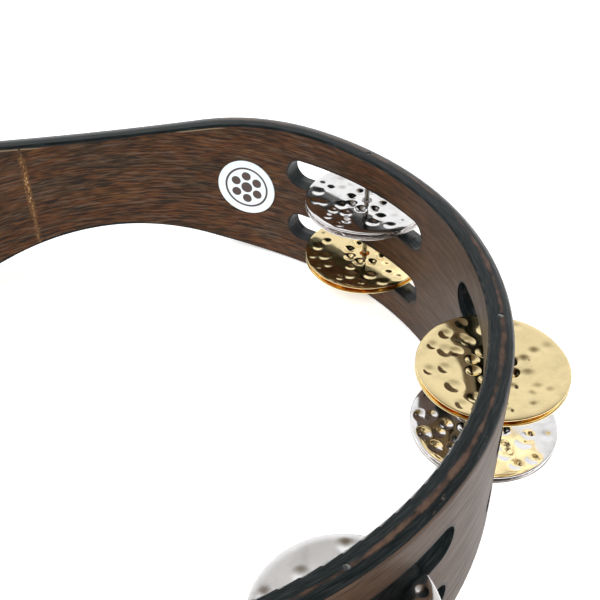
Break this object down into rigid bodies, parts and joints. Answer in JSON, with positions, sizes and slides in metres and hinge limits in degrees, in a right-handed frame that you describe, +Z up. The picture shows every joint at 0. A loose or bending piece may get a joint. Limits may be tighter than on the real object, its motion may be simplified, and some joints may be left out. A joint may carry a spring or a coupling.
{
  "type": "tambourine",
  "caption": "Round headless tambourine: a bent wood hoop with a narrowed hand grip and pairs of hammered metal jingles that slide on pins in its slots.",
  "frame": {"origin": "on the plane that the hoop's lower edge rests on, below the middle of the whole object's box, jingles included", "axes": "+Z up, along the hoop's axis and the jingle pins; +Y towards the grip; +X across it"},
  "size_m": [0.2852, 0.2634, 0.064],
  "materials": {
    "wood": "satin",
    "filler": "matte",
    "badge": "satin",
    "pin": "satin",
    "steel_jingle": "polished",
    "brass_jingle": "polished"
  },
  "bodies": {
    "hoop": {"hoop": "wood", "seam_filler": "filler", "badge": "badge", "pin_1": "pin", "pin_2": "pin", "pin_3": "pin", "pin_4": "pin", "pin_5": "pin", "pin_6": "pin"},
    "jingle_1_top_lower": {"jingle_1_top_lower": "steel_jingle"},
    "jingle_1_top_upper": {"jingle_1_top_upper": "steel_jingle"},
    "jingle_1_bottom_lower": {"jingle_1_bottom_lower": "brass_jingle"},
    "jingle_1_bottom_upper": {"jingle_1_bottom_upper": "brass_jingle"},
    "jingle_2_top_lower": {"jingle_2_top_lower": "brass_jingle"},
    "jingle_2_top_upper": {"jingle_2_top_upper": "brass_jingle"},
    "jingle_2_bottom_lower": {"jingle_2_bottom_lower": "steel_jingle"},
    "jingle_2_bottom_upper": {"jingle_2_bottom_upper": "steel_jingle"},
    "jingle_3_top_lower": {"jingle_3_top_lower": "steel_jingle"},
    "jingle_3_top_upper": {"jingle_3_top_upper": "steel_jingle"},
    "jingle_3_bottom_lower": {"jingle_3_bottom_lower": "brass_jingle"},
    "jingle_3_bottom_upper": {"jingle_3_bottom_upper": "brass_jingle"},
    "jingle_4_top_lower": {"jingle_4_top_lower": "brass_jingle"},
    "jingle_4_top_upper": {"jingle_4_top_upper": "brass_jingle"},
    "jingle_4_bottom_lower": {"jingle_4_bottom_lower": "steel_jingle"},
    "jingle_4_bottom_upper": {"jingle_4_bottom_upper": "steel_jingle"},
    "jingle_5_top_lower": {"jingle_5_top_lower": "steel_jingle"},
    "jingle_5_top_upper": {"jingle_5_top_upper": "steel_jingle"},
    "jingle_5_bottom_lower": {"jingle_5_bottom_lower": "brass_jingle"},
    "jingle_5_bottom_upper": {"jingle_5_bottom_upper": "brass_jingle"},
    "jingle_6_top_lower": {"jingle_6_top_lower": "brass_jingle"},
    "jingle_6_top_upper": {"jingle_6_top_upper": "brass_jingle"},
    "jingle_6_bottom_lower": {"jingle_6_bottom_lower": "steel_jingle"},
    "jingle_6_bottom_upper": {"jingle_6_bottom_upper": "steel_jingle"}
  },
  "joints": [
    {"name": "jingle_1_top_lower_slide", "type": "slide", "parent": "hoop", "child": "jingle_1_top_lower", "axis": [0, 0, 1], "range_m": [0, 0.0036]},
    {"name": "jingle_1_top_upper_slide", "type": "slide", "parent": "jingle_1_top_lower", "child": "jingle_1_top_upper", "axis": [0, 0, 1], "range_m": [0, 0.0036]},
    {"name": "jingle_1_bottom_lower_slide", "type": "slide", "parent": "hoop", "child": "jingle_1_bottom_lower", "axis": [0, 0, 1], "range_m": [0, 0.0036]},
    {"name": "jingle_1_bottom_upper_slide", "type": "slide", "parent": "jingle_1_bottom_lower", "child": "jingle_1_bottom_upper", "axis": [0, 0, 1], "range_m": [0, 0.0036]},
    {"name": "jingle_2_top_lower_slide", "type": "slide", "parent": "hoop", "child": "jingle_2_top_lower", "axis": [0, 0, 1], "range_m": [0, 0.0036]},
    {"name": "jingle_2_top_upper_slide", "type": "slide", "parent": "jingle_2_top_lower", "child": "jingle_2_top_upper", "axis": [0, 0, 1], "range_m": [0, 0.0036]},
    {"name": "jingle_2_bottom_lower_slide", "type": "slide", "parent": "hoop", "child": "jingle_2_bottom_lower", "axis": [0, 0, 1], "range_m": [0, 0.0036]},
    {"name": "jingle_2_bottom_upper_slide", "type": "slide", "parent": "jingle_2_bottom_lower", "child": "jingle_2_bottom_upper", "axis": [0, 0, 1], "range_m": [0, 0.0036]},
    {"name": "jingle_3_top_lower_slide", "type": "slide", "parent": "hoop", "child": "jingle_3_top_lower", "axis": [0, 0, 1], "range_m": [0, 0.0036]},
    {"name": "jingle_3_top_upper_slide", "type": "slide", "parent": "jingle_3_top_lower", "child": "jingle_3_top_upper", "axis": [0, 0, 1], "range_m": [0, 0.0036]},
    {"name": "jingle_3_bottom_lower_slide", "type": "slide", "parent": "hoop", "child": "jingle_3_bottom_lower", "axis": [0, 0, 1], "range_m": [0, 0.0036]},
    {"name": "jingle_3_bottom_upper_slide", "type": "slide", "parent": "jingle_3_bottom_lower", "child": "jingle_3_bottom_upper", "axis": [0, 0, 1], "range_m": [0, 0.0036]},
    {"name": "jingle_4_top_lower_slide", "type": "slide", "parent": "hoop", "child": "jingle_4_top_lower", "axis": [0, 0, 1], "range_m": [0, 0.0036]},
    {"name": "jingle_4_top_upper_slide", "type": "slide", "parent": "jingle_4_top_lower", "child": "jingle_4_top_upper", "axis": [0, 0, 1], "range_m": [0, 0.0036]},
    {"name": "jingle_4_bottom_lower_slide", "type": "slide", "parent": "hoop", "child": "jingle_4_bottom_lower", "axis": [0, 0, 1], "range_m": [0, 0.0036]},
    {"name": "jingle_4_bottom_upper_slide", "type": "slide", "parent": "jingle_4_bottom_lower", "child": "jingle_4_bottom_upper", "axis": [0, 0, 1], "range_m": [0, 0.0036]},
    {"name": "jingle_5_top_lower_slide", "type": "slide", "parent": "hoop", "child": "jingle_5_top_lower", "axis": [0, 0, 1], "range_m": [0, 0.0036]},
    {"name": "jingle_5_top_upper_slide", "type": "slide", "parent": "jingle_5_top_lower", "child": "jingle_5_top_upper", "axis": [0, 0, 1], "range_m": [0, 0.0036]},
    {"name": "jingle_5_bottom_lower_slide", "type": "slide", "parent": "hoop", "child": "jingle_5_bottom_lower", "axis": [0, 0, 1], "range_m": [0, 0.0036]},
    {"name": "jingle_5_bottom_upper_slide", "type": "slide", "parent": "jingle_5_bottom_lower", "child": "jingle_5_bottom_upper", "axis": [0, 0, 1], "range_m": [0, 0.0036]},
    {"name": "jingle_6_top_lower_slide", "type": "slide", "parent": "hoop", "child": "jingle_6_top_lower", "axis": [0, 0, 1], "range_m": [0, 0.0036]},
    {"name": "jingle_6_top_upper_slide", "type": "slide", "parent": "jingle_6_top_lower", "child": "jingle_6_top_upper", "axis": [0, 0, 1], "range_m": [0, 0.0036]},
    {"name": "jingle_6_bottom_lower_slide", "type": "slide", "parent": "hoop", "child": "jingle_6_bottom_lower", "axis": [0, 0, 1], "range_m": [0, 0.0036]},
    {"name": "jingle_6_bottom_upper_slide", "type": "slide", "parent": "jingle_6_bottom_lower", "child": "jingle_6_bottom_upper", "axis": [0, 0, 1], "range_m": [0, 0.0036]}
  ]
}
